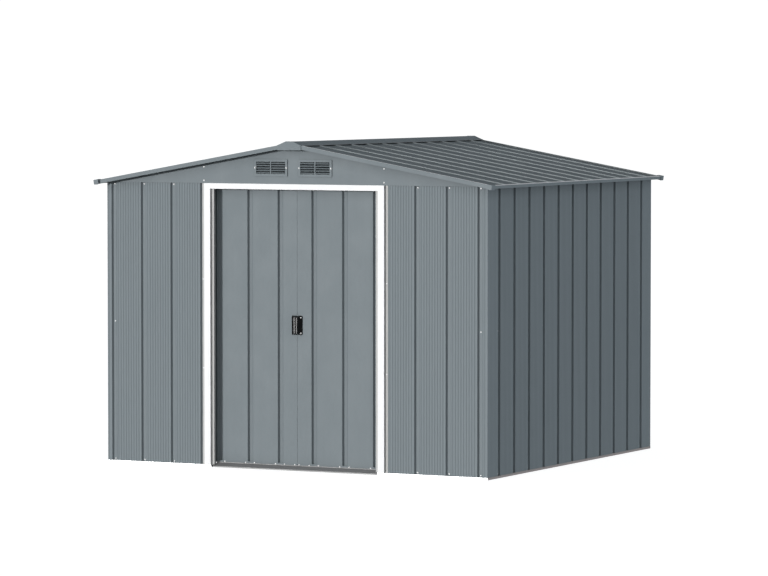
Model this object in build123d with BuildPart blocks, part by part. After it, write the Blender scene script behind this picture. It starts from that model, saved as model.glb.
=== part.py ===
from build123d import *
import math
import os

# A sheet-steel tool shed: grooved walls, a low ribbed gable roof, a pale door frame and two
# sliding doors that pass behind the front walls. Millimetres, +Z up, front towards -Y, with
# the origin on the ground at the middle of the four walls.

# Whole shed
wall_width = 2495.0
wall_depth = 2303.0
gable_bottom = 1661.0
eave_rise = 4.0
roof_angle = 10.0
eave_overhang = 51.0
barge_overhang = 50.0

# Sheets, folded strips and clearances
sheet = 0.8
strip = 1.0
fit_gap = 0.3
moving_gap = 5.0
overrun = 20.0

# Grooves of the wall and door sheets
groove_pitch = 200.0
groove_mouth = 36.0
groove_floor = 20.0
groove_depth = 12.0
corner_front_leg = 47.5
corner_side_leg = 151.5
fine_rib_pitch = 17.2
fine_rib_depth = 1.5
gable_lap = 6.0

# Base rails, with holes for ground anchors
base_height = 14.0
base_flange = 40.0
base_upstand = 31.0
anchor_hole_radius = 5.0
anchor_inset = 26.0
anchor_spacing = 1600.0

# Door frame
opening_width = 1099.0
jamb_face = 40.5
jamb_proud = 2.0
jamb_inner_flange = 18.5
jamb_lip = 19.0
header_height = 32.0
header_flange = 21.0
sill_end_gap = 3.5
sill_setback = 10.0
sill_depth = 42.5
sill_height = 27.0
sill_nose = 7.0

# Rails inside the walls
top_rail_drop = 45.0
top_rail_leg = 40.0
mid_rail_height = 839.0
mid_rail_width = 40.0
mid_rail_depth = 20.0
mid_rail_lip = 12.0

# Sliding doors and their tracks
door_setback = 49.0
door_bottom = 27.0
door_edge_gap = 4.5
door_outer_pan = 16.0
door_seam_pan = 90.5
door_edge_fold = 11.0
door_rail_leg = 12.0
track_head_room = 20.0
track_flange = 24.0
track_lip_drop = 8.0
bottom_rib = 18.0
glide_length = 40.0
glide_width = 12.0
glide_inset = 60.0
bottom_glide_drop = 17.0
top_glide_rise = 13.0
meeting_strip_reach = 12.0
meeting_strip_seat = 18.0

# Door handles
handle_height = 111.0
handle_bottom = 788.0
handle_width = 33.0
handle_proud = 25.0
handle_crest = 8.0
handle_plate = 3.0
handle_round = 3.0
handle_taper = 9.0
handle_corner = 5.0

# Louvred vents in the front gable
vent_spacing = 290.0
vent_rise = 93.5
vent_width = 219.0
vent_tall = 98.0
vent_border = 12.5
vent_proud = 4.5
vent_collar = 8.0
vent_wall = 1.5
vent_bar = 6.0
vent_slat_count = 5
vent_slat_angle = 20.0
vent_slat_width = 12.5
vent_slat_thickness = 4.2
vent_slat_setback = 2.5
vent_corner = 4.0

# Roof sheets, beams and trims
rib_pitch = 200.0
rib_base = 36.0
rib_crown = 20.0
rib_height = 12.5
ridge_gap = 12.0
beam_places = (70.0, 640.0)
beam_width = 40.0
beam_flange = 16.0
beam_depth = 38.0
eave_face = 18.0
eave_flange = 18.0
barge_face = 23.0
barge_top_flange = 20.0
barge_bottom_flange = 26.0
cap_wall = 3.5
cap_nose = 14.0
cap_reach = 28.0
cap_drop = 28.0
cap_round = 2.0
ridge_cap_flat = 40.0
ridge_cap_rise = 8.8
ridge_cap_width = 156.0
ridge_cap_flange = 4.0
end_cap_thickness = 3.0
end_cap_shell = 1.5
end_cap_return = 18.0
end_cap_drop = 26.9

# Places that follow from the sizes above
half_width = wall_width / 2
half_depth = wall_depth / 2
slope = math.radians(roof_angle)
ridge_height = gable_bottom + eave_rise + half_width * math.tan(slope)
vent_height = gable_bottom + vent_rise
groove_back = groove_depth + sheet
jamb_inner = opening_width / 2
jamb_outer = jamb_inner + jamb_face
jamb_groove = jamb_outer + groove_floor / 2
jamb_flange_face = groove_depth - strip
header_bottom = gable_bottom - header_height
sill_width = opening_width - 2 * sill_end_gap
seam_half_gap = moving_gap / 2
door_back = door_setback + groove_back
door_middle = (door_setback + door_back) / 2
door_outer_edge = jamb_inner - door_edge_gap
track_top = gable_bottom - strip
door_top = track_top - track_head_room
roof_run = (half_width + eave_overhang) / math.cos(slope)
roof_front = half_depth + barge_overhang
sheet_edge = roof_front - strip
trim_top = rib_height + strip
ridge_cap_edge = ridge_cap_width / 2

# The directions into the shed from each wall, and the middle of each wall's outer face
UP = Vector(0, 0, 1)
INWARD = {
    "front": Vector(0, 1, 0),
    "back": Vector(0, -1, 0),
    "left": Vector(1, 0, 0),
    "right": Vector(-1, 0, 0),
}
HALF_SPAN = {"front": half_depth, "back": half_depth, "left": half_width, "right": half_width}


def plan_plane(wall, height):
    """Level plane of a wall: x along the wall, y into the shed."""
    inward = INWARD[wall]
    origin = inward * -HALF_SPAN[wall] + UP * height
    return Plane(origin=origin, x_dir=inward.cross(UP), z_dir=UP)


def section_plane(wall, along):
    """Upright plane across a wall: x into the shed, y up."""
    inward = INWARD[wall]
    run = inward.cross(UP)
    origin = inward * -HALF_SPAN[wall] + run * along
    return Plane(origin=origin, x_dir=inward, z_dir=run)


# Planes of the right-hand slope: y is square to the roof, and y = 0 is the top of the pans
DOWN_SLOPE = Vector(math.cos(slope), 0, -math.sin(slope))
RIDGE_LINE = Vector(0, 0, ridge_height)
across_slope = Plane(origin=RIDGE_LINE, x_dir=(0, 1, 0), z_dir=DOWN_SLOPE)
along_slope = Plane(origin=RIDGE_LINE, x_dir=DOWN_SLOPE, z_dir=(0, -1, 0))


def roof_z(x, rise):
    """Height, at a distance x from the ridge, of the plane that lies a given rise over the pans."""
    return ridge_height + rise / math.cos(slope) - abs(x) * math.tan(slope)


def folded(points, thickness):
    """Closed outline of a folded strip: the drawn line, and its copy to the right of it."""
    corners = [Vector(*point) for point in points]
    runs = [(b - a).normalized() for a, b in zip(corners, corners[1:])]
    copy = []
    for index, corner in enumerate(corners):
        before = runs[max(index - 1, 0)]
        after = runs[min(index, len(runs) - 1)]
        right_before = Vector(before.Y, -before.X)
        right_after = Vector(after.Y, -after.X)
        middle = (right_before + right_after).normalized()
        copy.append(corner + middle * (thickness / middle.dot(right_before)))
    return corners + copy[::-1]


def save(piece, name):
    """Label a finished piece and write it to its own file."""
    piece.label = name
    export_step(piece, f"parts/{name}.step")


def save_pair(piece, left_name, right_name):
    """Write a piece drawn on the right, and its mirror image on the left."""
    save(piece, right_name)
    save(mirror(piece, about=Plane.YZ), left_name)


def upright_sheet(wall, points, bottom, top):
    """A folded sheet drawn in plan and run upwards."""
    with BuildPart() as piece:
        with BuildSketch(plan_plane(wall, bottom)):
            with BuildLine():
                Polyline(*folded(points, sheet), close=True)
            make_face()
        extrude(amount=top - bottom)
    return piece.part


def rail(wall, points, start, end):
    """A folded strip drawn in section and run along a wall."""
    with BuildPart() as piece:
        with BuildSketch(section_plane(wall, start)):
            with BuildLine():
                Polyline(*folded(points, strip), close=True)
            make_face()
        extrude(amount=end - start)
    return piece.part


def groove(middle, face):
    """The four corners of one groove in a sheet whose front lies at a given depth."""
    return [
        (middle - groove_mouth / 2, face),
        (middle - groove_floor / 2, face + groove_depth),
        (middle + groove_floor / 2, face + groove_depth),
        (middle + groove_mouth / 2, face),
    ]


def even_places(first, last, pitch):
    """Places from first to last, spread evenly at about the given pitch."""
    count = max(1, round((last - first) / pitch))
    return [first + (last - first) * index / count for index in range(count + 1)]


def fine_ribs(start, end):
    """Places and depths of the fine ribs across a pan: a shallow zigzag in the middle of it."""
    count = int((end - start) / fine_rib_pitch)
    first = (start + end - count * fine_rib_pitch) / 2
    steps = range(2 * count + 1)
    return [(first + fine_rib_pitch * step / 2, fine_rib_depth * (step % 2)) for step in steps]


def wall_line(first, last, first_lap, last_lap):
    """Plan of a wall sheet from one groove's middle to another's, with laps on their floors."""
    places = even_places(first, last, groove_pitch)
    line = [(first - first_lap, groove_depth)]
    for place, following in zip(places, places[1:]):
        line += groove(place, 0)[2:]
        line += fine_ribs(place + groove_mouth / 2, following - groove_mouth / 2)
        line += groove(following, 0)[:2]
    line += [(last + last_lap, groove_depth)]
    return line[::-1]


def base_rail(wall, start, end, mitres):
    """A stepped base rail: ground flange, face, ledge for the sheet and an upstand behind it."""
    section = [
        (base_flange, 0),
        (0, 0),
        (0, base_height),
        (groove_back, base_height),
        (groove_back, base_height + base_upstand),
    ]
    cut_start = start + base_flange * mitres[0]
    cut_end = end - base_flange * mitres[1]
    with BuildPart() as piece:
        add(rail(wall, section, start, end))
        with BuildSketch(plan_plane(wall, 0)):
            with BuildLine():
                Polyline((start, 0), (end, 0), (cut_end, base_flange), (cut_start, base_flange), close=True)
            make_face()
        extrude(amount=base_height + base_upstand, mode=Mode.INTERSECT)
        if wall in ("left", "right"):
            with BuildSketch(plan_plane(wall, 0)):
                with Locations((0, anchor_inset)):
                    with GridLocations(anchor_spacing, 0, 2, 1):
                        Circle(anchor_hole_radius)
            extrude(amount=strip, mode=Mode.SUBTRACT)
    return piece.part


def make_base():
    """Base rails round the walls, mitred at the corners and open at the doorway."""
    sill_end = sill_width / 2 + fit_gap
    save(base_rail("front", -half_width, -sill_end, (1, 0)), "base_rail_front_left")
    save(base_rail("front", sill_end, half_width, (0, 1)), "base_rail_front_right")
    save(base_rail("back", -half_width, half_width, (1, 1)), "base_rail_back")
    save(base_rail("left", -half_depth, half_depth, (1, 1)), "base_rail_left")
    save(base_rail("right", -half_depth, half_depth, (1, 1)), "base_rail_right")


def corner_panel():
    """Folded corner sheet at the front right, lapped over the sheets on both sides of it."""
    floor = groove_depth - sheet
    lap = groove_floor / 2 - 2 * sheet
    front_groove = half_width - corner_front_leg
    side_groove = corner_side_leg - half_depth
    front_pan = fine_ribs(front_groove + groove_mouth / 2, half_width)
    side_pan = fine_ribs(-half_depth, side_groove - groove_mouth / 2)
    line = [
        (half_width - floor, side_groove + lap),
        (half_width - floor, side_groove - groove_floor / 2),
        (half_width, side_groove - groove_mouth / 2),
        *[(half_width - depth, y) for y, depth in side_pan[::-1]],
        (half_width, -half_depth),
        *[(x, depth - half_depth) for x, depth in front_pan[::-1]],
        (front_groove + groove_mouth / 2, -half_depth),
        (front_groove + groove_floor / 2, floor - half_depth),
        (front_groove - lap, floor - half_depth),
    ]
    with BuildPart() as piece:
        with BuildSketch(Plane.XY.offset(base_height)):
            with BuildLine():
                Polyline(*folded(line, sheet), close=True)
            make_face()
        extrude(amount=gable_bottom - base_height)
    return piece.part


def make_walls():
    """Wall sheets between the corner sheets, and the four corner sheets."""
    corner = corner_panel()
    save_pair(corner, "corner_front_left", "corner_front_right")
    save_pair(mirror(corner, about=Plane.XZ), "corner_back_left", "corner_back_right")
    lap = groove_floor / 2 - sheet
    jamb_lap = jamb_groove - jamb_outer - fit_gap
    front_last = half_width - corner_front_leg
    side_last = half_depth - corner_side_leg
    front_top = gable_bottom + gable_lap
    front_line = wall_line(jamb_groove, front_last, jamb_lap, lap)
    save_pair(upright_sheet("front", front_line, base_height, front_top), "front_wall_left", "front_wall_right")
    back_line = wall_line(-front_last, front_last, lap, lap)
    save(upright_sheet("back", back_line, base_height, front_top), "back_wall")
    side_line = wall_line(-side_last, side_last, lap, lap)
    for side in ("left", "right"):
        save(upright_sheet(side, side_line, base_height, gable_bottom), f"{side}_wall")


def make_wall_rails():
    """Rails that tie the grooved sheets together inside the side and back walls."""
    front_clear = door_back + strip + moving_gap * 2
    side_start = groove_back + strip + fit_gap - half_depth
    back_end = half_width - corner_front_leg + groove_floor / 2
    top_low = gable_bottom - top_rail_drop
    eave_line = [
        (groove_back, top_low),
        (groove_back, roof_z(half_width - groove_back, -sheet)),
        (groove_back + top_rail_leg, roof_z(half_width - groove_back - top_rail_leg, -sheet)),
    ]
    save_pair(rail("right", eave_line, side_start, -side_start), "top_rail_left", "top_rail_right")
    back_line = [
        (groove_back, top_low),
        (groove_back, gable_bottom),
        (groove_back + top_rail_leg, gable_bottom),
    ]
    save(rail("back", back_line, -back_end, back_end), "top_rail_back")
    low = mid_rail_height - mid_rail_width / 2
    high = mid_rail_height + mid_rail_width / 2
    deep = groove_back + mid_rail_depth
    channel = [
        (deep, low + mid_rail_lip),
        (deep, low),
        (groove_back, low),
        (groove_back, high),
        (deep, high),
        (deep, high - mid_rail_lip),
    ]
    with BuildPart() as mid_rails:
        add(rail("right", channel, front_clear - half_depth, -side_start))
        mirror(about=Plane.YZ)
        add(rail("back", channel, -back_end, back_end))
    save(mid_rails.part, "mid_rails")


def make_door_frame():
    """White jambs that run up beside the header, the header itself and the sloping sill."""
    inner_edge = jamb_inner - jamb_inner_flange
    jamb_line = [
        (jamb_groove + groove_floor / 2 - 2 * sheet, jamb_flange_face),
        (jamb_outer, jamb_flange_face),
        (jamb_outer, -jamb_proud),
        (jamb_inner, -jamb_proud),
        (jamb_inner, jamb_flange_face),
        (inner_edge, jamb_flange_face),
        (inner_edge, jamb_flange_face + jamb_lip),
    ]
    with BuildPart() as jamb:
        with BuildSketch(plan_plane("front", base_height)):
            with BuildLine():
                Polyline(*folded(jamb_line, strip), close=True)
            make_face()
        extrude(amount=header_bottom - base_height)
        with BuildSketch(plan_plane("front", header_bottom)):
            with BuildLine():
                Polyline(*folded(jamb_line[:3], strip), close=True)
            make_face()
        extrude(amount=header_height)
    save_pair(jamb.part, "door_jamb_left", "door_jamb_right")

    header_line = [
        (groove_back, header_bottom + header_flange),
        (groove_back, header_bottom),
        (-jamb_proud, header_bottom),
        (-jamb_proud, gable_bottom),
    ]
    header_end = jamb_outer - strip
    save(rail("front", header_line, -header_end, header_end), "door_header")

    sill_line = [
        (sill_setback, 0),
        (sill_setback, sill_nose),
        (sill_depth, sill_height),
        (sill_depth, strip),
    ]
    nose_end = sill_width / 2
    back_end = inner_edge - fit_gap
    plan = [
        (-nose_end, sill_setback),
        (nose_end, sill_setback),
        (nose_end, jamb_flange_face),
        (back_end, jamb_flange_face),
        (back_end, sill_depth),
        (-back_end, sill_depth),
        (-back_end, jamb_flange_face),
        (-nose_end, jamb_flange_face),
    ]
    with BuildPart() as sill:
        add(rail("front", sill_line, -nose_end, nose_end))
        with BuildSketch(plan_plane("front", 0)):
            with BuildLine():
                Polyline(*plan, close=True)
            make_face()
        extrude(amount=sill_height, mode=Mode.INTERSECT)
    save(sill.part, "door_sill")


def make_tracks():
    """Tracks across the whole front: a lip over the doors and a rib under them."""
    lip_back = door_middle + strip / 2
    top_end = half_width - corner_front_leg + groove_floor / 2
    top_line = [
        (groove_back, track_top - track_flange),
        (groove_back, track_top),
        (lip_back, track_top),
        (lip_back, door_top + track_lip_drop),
    ]
    save(rail("front", top_line, -top_end, top_end), "door_top_track")
    bottom_line = [
        (lip_back, bottom_rib),
        (lip_back, 0),
        (base_flange, 0),
    ]
    bottom_end = half_width - base_flange
    save(rail("front", bottom_line, -bottom_end, bottom_end), "door_bottom_track")


def door_panel():
    """Grooved sheet of the right-hand door, with its outer edge folded back."""
    first = seam_half_gap + door_seam_pan + groove_mouth / 2
    last = door_outer_edge - door_outer_pan - groove_mouth / 2
    line = [(seam_half_gap, door_setback)]
    for place in even_places(first, last, groove_pitch):
        line += groove(place, door_setback)
    line += [(door_outer_edge, door_setback), (door_outer_edge, door_setback + door_edge_fold)]
    return upright_sheet("front", line[::-1], door_bottom + strip, door_top - strip)


def door_rails():
    """Channels that cap the top and bottom edges of the right-hand door."""
    front = door_setback - strip
    back = door_back + strip
    bottom_line = [
        (back, door_bottom + door_rail_leg),
        (back, door_bottom),
        (front, door_bottom),
        (front, door_bottom + door_rail_leg),
    ]
    top_line = [
        (front, door_top - door_rail_leg),
        (front, door_top),
        (back, door_top),
        (back, door_top - door_rail_leg),
    ]
    with BuildPart() as rails:
        add(rail("front", bottom_line, seam_half_gap, door_outer_edge))
        add(rail("front", top_line, seam_half_gap, door_outer_edge))
    return rails.part


def door_glides():
    """Slotted blocks that run on the bottom rib and under the top lip."""
    slot = strip + 2 * fit_gap
    first = seam_half_gap + glide_inset
    last = door_outer_edge - glide_inset
    middle = (first + last) / 2
    lip_bottom = door_top + track_lip_drop
    with BuildPart() as glides:
        with BuildSketch(plan_plane("front", door_bottom)):
            with Locations((middle, door_middle)):
                with GridLocations(last - first, 0, 2, 1):
                    Rectangle(glide_length, glide_width)
        extrude(amount=-bottom_glide_drop)
        with BuildSketch(plan_plane("front", door_bottom - bottom_glide_drop)):
            with Locations((middle, door_middle)):
                Rectangle(last - first + glide_length + overrun, slot)
        extrude(amount=bottom_rib + fit_gap - door_bottom + bottom_glide_drop, mode=Mode.SUBTRACT)
        with BuildSketch(plan_plane("front", door_top)):
            with Locations((middle, door_middle)):
                with GridLocations(last - first, 0, 2, 1):
                    Rectangle(glide_length, glide_width)
        extrude(amount=top_glide_rise)
        with BuildSketch(plan_plane("front", lip_bottom - fit_gap)):
            with Locations((middle, door_middle)):
                Rectangle(last - first + glide_length + overrun, slot)
        extrude(amount=top_glide_rise, mode=Mode.SUBTRACT)
    return glides.part


def door_handle():
    """Moulded pull of the right-hand door: a plate with a rounded, tapered fin beside the seam."""
    inner = seam_half_gap
    outer = inner + handle_width
    face = door_setback
    crest = face - handle_proud
    top = handle_bottom + handle_height
    across = [
        (inner, face),
        (inner, crest),
        (inner + handle_crest, crest),
        (inner + 2 * handle_crest, face - 2 * handle_plate),
        (outer, face - handle_plate),
        (outer, face),
    ]
    upright = [
        (face, handle_bottom),
        (face - handle_plate, handle_bottom),
        (crest, handle_bottom + handle_taper),
        (crest, top - handle_taper),
        (face - handle_plate, top),
        (face, top),
    ]
    with BuildPart() as handle:
        with BuildSketch(plan_plane("front", handle_bottom)) as section:
            with BuildLine():
                Polyline(*across, close=True)
            make_face()
            fillet(section.vertices().sort_by(Axis.Y)[:3], handle_round)
        extrude(amount=handle_height)
        with BuildSketch(section_plane("front", inner)) as side:
            with BuildLine():
                Polyline(*upright, close=True)
            make_face()
            fillet(side.vertices().sort_by(Axis.X)[:2], handle_corner)
        extrude(amount=handle_width, mode=Mode.INTERSECT)
        fillet(handle.edges().filter_by(Axis.Y).group_by(Axis.X)[-1], handle_corner)
    return handle.part


def make_doors():
    """Both doors, drawn on the right and mirrored, with the strip that closes their seam."""
    save_pair(door_panel(), "left_door_panel", "right_door_panel")
    save_pair(door_rails(), "left_door_rails", "right_door_rails")
    save_pair(door_glides(), "left_door_glides", "right_door_glides")
    save_pair(door_handle(), "left_door_handle", "right_door_handle")
    seat = door_setback + sheet
    behind = seat + moving_gap + fit_gap
    strip_line = [
        (meeting_strip_reach, behind),
        (-seam_half_gap, behind),
        (-seam_half_gap, seat),
        (-seam_half_gap - meeting_strip_seat, seat),
    ]
    low = door_bottom + door_rail_leg + moving_gap
    high = door_top - door_rail_leg - moving_gap
    save(upright_sheet("front", strip_line, low, high), "door_meeting_strip")


def gable():
    """Front gable sheet between the walls and the underside of the roof."""
    outline = [
        (-half_width, gable_bottom),
        (half_width, gable_bottom),
        (half_width, roof_z(half_width, -sheet)),
        (0, roof_z(0, -sheet)),
        (-half_width, roof_z(half_width, -sheet)),
    ]
    with BuildPart() as piece:
        with BuildSketch(Plane.XZ.offset(half_depth)):
            with BuildLine():
                Polyline(*outline, close=True)
            make_face()
        extrude(amount=sheet)
    return piece.part


def vent_hole():
    """Width and height of the hole in the gable behind a vent's collar."""
    return vent_width - 2 * vent_border, vent_tall - 2 * vent_border


def vent():
    """Right-hand louvred vent: a raised border, a collar through the gable and sloping slats."""
    wide, tall = vent_hole()
    face = half_depth + sheet
    with BuildPart() as piece:
        with BuildSketch(Plane.XZ.offset(face)):
            with Locations((vent_spacing / 2, vent_height)):
                RectangleRounded(vent_width, vent_tall, vent_corner)
                Rectangle(wide - 2 * vent_wall, tall - 2 * vent_wall, mode=Mode.SUBTRACT)
        extrude(amount=vent_proud)
        with BuildSketch(Plane.XZ.offset(face)):
            with Locations((vent_spacing / 2, vent_height)):
                Rectangle(wide - 2 * fit_gap, tall - 2 * fit_gap)
                Rectangle(wide - 2 * vent_wall, tall - 2 * vent_wall, mode=Mode.SUBTRACT)
        extrude(amount=-vent_collar)
        with BuildSketch(Plane.XZ.offset(face - vent_collar)):
            with Locations((vent_spacing / 2, vent_height)):
                Rectangle(vent_bar, tall - 2 * vent_wall)
        extrude(amount=vent_collar + vent_proud)
        slat_pitch = (tall - 2 * vent_wall) / vent_slat_count
        slat_plane = Plane.YZ.offset(vent_spacing / 2 - wide / 2 + vent_wall)
        with BuildSketch(slat_plane):
            with Locations((vent_slat_setback - face, vent_height)):
                with GridLocations(0, slat_pitch, 1, vent_slat_count):
                    Rectangle(vent_slat_width, vent_slat_thickness, rotation=vent_slat_angle)
        extrude(amount=wide - 2 * vent_wall)
    return piece.part


def make_gables():
    """Gables front and back, and the two vents of the front one."""
    save_pair(vent(), "vent_left", "vent_right")
    plain = gable()
    save(mirror(plain, about=Plane.XZ), "back_gable")
    wide, tall = vent_hole()
    with BuildPart() as front:
        add(plain)
        with BuildSketch(Plane.XZ.offset(half_depth)):
            with Locations((0, vent_height)):
                with GridLocations(vent_spacing, 0, 2, 1):
                    Rectangle(wide, tall)
        extrude(amount=sheet, mode=Mode.SUBTRACT)
    save(front.part, "front_gable")


def rib(middle, rise):
    """The four corners of one raised rib of a roof sheet."""
    return [
        (middle - rib_base / 2, 0),
        (middle - rib_crown / 2, rise),
        (middle + rib_crown / 2, rise),
        (middle + rib_base / 2, 0),
    ]


def roof_sheet(points):
    """A ribbed sheet of the right-hand slope, from the ridge gap to the eave trim."""
    start = ridge_gap / 2
    end = roof_run - strip - fit_gap
    with BuildPart() as piece:
        with BuildSketch(across_slope.offset(start)):
            with BuildLine():
                Polyline(*folded(points, sheet), close=True)
            make_face()
        extrude(amount=end - start)
    return piece.part


def make_roof_sheets():
    """Front and rear sheets of both slopes; the front ones lap over the rear ones at a rib."""
    lap = rib_crown / 2 - 2 * sheet
    front_line = [(-sheet_edge, rib_height)] + rib(-sheet_edge, rib_height)[2:]
    for place in even_places(-sheet_edge, 0, rib_pitch)[1:-1]:
        front_line += rib(place, rib_height)
    front_line += rib(0, rib_height)[:2] + [(lap, rib_height)]
    rear_line = [(-lap, rib_height - sheet)] + rib(0, rib_height - sheet)[2:]
    for place in even_places(0, sheet_edge, rib_pitch)[1:-1]:
        rear_line += rib(place, rib_height)
    rear_line += rib(sheet_edge, rib_height)[:2] + [(sheet_edge, rib_height)]
    save_pair(roof_sheet(front_line), "roof_sheet_front_left", "roof_sheet_front_right")
    save_pair(roof_sheet(rear_line), "roof_sheet_rear_left", "roof_sheet_rear_right")


def make_roof_beams():
    """Hat-section beams from gable to gable under the pans of both slopes."""
    with BuildPart() as beams:
        for place in beam_places:
            near = place - beam_width / 2
            far = place + beam_width / 2
            line = [
                (near - beam_flange, -sheet),
                (near, -sheet),
                (near, -beam_depth),
                (far, -beam_depth),
                (far, -sheet),
                (far + beam_flange, -sheet),
            ]
            with BuildSketch(along_slope):
                with BuildLine():
                    Polyline(*folded(line, strip), close=True)
                make_face()
            extrude(amount=half_depth, both=True)
        mirror(about=Plane.YZ)
    save(beams.part, "roof_beams")


def make_eave_trims():
    """Lipped channels over the lower ends of the roof sheets."""
    low = trim_top - eave_face
    line = [
        (roof_run - eave_flange, trim_top),
        (roof_run, trim_top),
        (roof_run, low),
        (roof_run - eave_flange, low),
        (roof_run - eave_flange, -sheet),
    ]
    with BuildPart() as trim:
        with BuildSketch(along_slope):
            with BuildLine():
                Polyline(*folded(line, strip), close=True)
            make_face()
        extrude(amount=roof_front - barge_bottom_flange - fit_gap, both=True)
    save_pair(trim.part, "eave_trim_left", "eave_trim_right")


def make_barge_trims():
    """Lipped channels over the front and rear edges of the roof, notched under the ridge cap."""
    low = trim_top - barge_face
    inner_face = -roof_front + barge_bottom_flange
    line = [
        (inner_face, -sheet),
        (inner_face, low),
        (-roof_front, low),
        (-roof_front, trim_top),
        (barge_top_flange - roof_front, trim_top),
    ]
    notch_end = ridge_cap_edge / math.cos(slope) + fit_gap
    start = ridge_gap / 2
    with BuildPart() as front:
        with BuildSketch(across_slope.offset(start)):
            with BuildLine():
                Polyline(*folded(line, strip), close=True)
            make_face()
        extrude(amount=roof_run - start)
        with BuildSketch(across_slope.offset(start)):
            with Locations((barge_top_flange / 2 - sheet_edge, rib_height)):
                Rectangle(barge_top_flange, 2 * strip)
        extrude(amount=notch_end - start, mode=Mode.SUBTRACT)
        mirror(about=Plane.YZ)
    save(front.part, "front_barge_trims")
    save(mirror(front.part, about=Plane.XZ), "back_barge_trims")


def make_corner_caps():
    """Moulded caps with a blunt nose over the four corners where the eave and barge trims meet."""
    outwards = DOWN_SLOPE + along_slope.y_dir + along_slope.z_dir
    with BuildPart() as caps:
        with BuildSketch(along_slope.offset(roof_front + cap_nose)):
            with Locations((roof_run + cap_wall, trim_top + cap_wall)):
                Rectangle(cap_reach + cap_wall, cap_drop, align=(Align.MAX, Align.MAX))
        extrude(amount=-cap_reach - cap_nose)
        fillet(caps.edges().sort_by(lambda edge: edge.center().dot(outwards))[-3:], cap_round)
        with BuildSketch(along_slope.offset(roof_front)):
            with Locations((roof_run, trim_top)):
                Rectangle(cap_reach + overrun, cap_drop + overrun, align=(Align.MAX, Align.MAX))
        extrude(amount=-cap_reach - overrun, mode=Mode.SUBTRACT)
        mirror(about=Plane.YZ)
        mirror(about=Plane.XZ)
    save(caps.part, "roof_corner_caps")


def ridge_line():
    """Outside of the ridge cap: a flat top, two slopes and flanges on the roof ribs."""
    knee = ridge_cap_edge - ridge_cap_flange
    right = [
        (ridge_cap_flat / 2, roof_z(0, trim_top) + ridge_cap_rise),
        (knee, roof_z(knee, trim_top)),
        (ridge_cap_edge, roof_z(ridge_cap_edge, trim_top)),
    ]
    left = [(-x, z) for x, z in right[::-1]]
    return left + right


def make_ridge():
    """Ridge cap along the roof and the end caps that close it."""
    with BuildPart() as cap:
        with BuildSketch(Plane.XZ):
            with BuildLine():
                Polyline(*folded(ridge_line(), strip), close=True)
            make_face()
        extrude(amount=sheet_edge, both=True)
    save(cap.part, "ridge_cap")

    shell = folded(ridge_line()[::-1], end_cap_shell)
    outer = shell[len(shell) // 2:]
    bottom = roof_z(ridge_cap_edge, trim_top) - end_cap_drop
    plate = outer + [(ridge_cap_edge, bottom), (-ridge_cap_edge, bottom)]
    with BuildPart() as ends:
        with BuildSketch(Plane.XZ.offset(roof_front)):
            with BuildLine():
                Polyline(*plate, close=True)
            make_face()
        extrude(amount=end_cap_thickness)
        with BuildSketch(Plane.XZ.offset(roof_front)):
            with BuildLine():
                Polyline(*shell, close=True)
            make_face()
        extrude(amount=-end_cap_return)
        mirror(about=Plane.XZ)
    save(ends.part, "ridge_end_caps")


os.makedirs("parts", exist_ok=True)
make_base()
make_walls()
make_wall_rails()
make_door_frame()
make_tracks()
make_doors()
make_gables()
make_roof_sheets()
make_roof_beams()
make_eave_trims()
make_barge_trims()
make_corner_caps()
make_ridge()
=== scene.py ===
import math

import bmesh
import bpy
from bpy.props import FloatProperty, FloatVectorProperty, IntProperty, PointerProperty
from mathutils import Matrix, Vector


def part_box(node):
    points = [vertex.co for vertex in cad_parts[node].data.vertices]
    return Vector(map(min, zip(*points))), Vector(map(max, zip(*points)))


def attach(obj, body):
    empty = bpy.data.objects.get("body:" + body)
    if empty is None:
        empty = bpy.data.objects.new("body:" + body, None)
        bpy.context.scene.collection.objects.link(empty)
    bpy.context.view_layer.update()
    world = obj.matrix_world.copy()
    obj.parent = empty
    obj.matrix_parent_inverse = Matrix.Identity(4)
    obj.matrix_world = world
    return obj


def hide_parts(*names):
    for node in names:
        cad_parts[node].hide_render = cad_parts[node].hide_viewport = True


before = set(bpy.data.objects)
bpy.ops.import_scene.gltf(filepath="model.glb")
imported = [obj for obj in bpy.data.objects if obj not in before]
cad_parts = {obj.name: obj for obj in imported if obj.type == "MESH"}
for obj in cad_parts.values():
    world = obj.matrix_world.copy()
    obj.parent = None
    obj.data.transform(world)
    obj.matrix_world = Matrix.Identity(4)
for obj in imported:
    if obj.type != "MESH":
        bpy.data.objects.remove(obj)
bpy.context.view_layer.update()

bl_info = {
    "name": "Metal tool shed",
    "version": (1, 0, 0),
    "blender": (4, 5, 0),
    "location": "View3D > Sidebar > Shed",
    "description": "Dresses a sheet-steel tool shed: folded sheets, trims, screws and finishes",
    "category": "Object",
}

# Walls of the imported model, in metres: the outer planes, the ledge of the base and the eaves
CORNER_LOW, CORNER_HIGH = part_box("corner_front_right")
HALF_WIDTH = CORNER_HIGH.x
HALF_DEPTH = -CORNER_LOW.y
WALL_LOW = CORNER_LOW.z
WALL_HIGH = CORNER_HIGH.z
WALL_TURNS = {"front": 0, "right": 1, "back": 2, "left": 3}
HALF_SPANS = {"front": HALF_DEPTH, "back": HALF_DEPTH, "left": HALF_WIDTH, "right": HALF_WIDTH}

# Grooves of the walls, in metres from the middle of each wall: the outermost ones, and those at the jambs
FRONT_END_GROOVE = 1.2
SIDE_END_GROOVE = 1.0
JAMB_GROOVE = 0.6

# How near two places are to count as the same, in metres
NEAR = 1e-4
VERY_NEAR = 1e-5

# How squarely a face looks along an axis to count as facing it, and the bend below which shading is smooth
FACING = 0.9
SMOOTH_BELOW = math.radians(40)

# Axes that the streaks of a finish run along
ALONG_X = 0
ALONG_Z = 2

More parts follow.
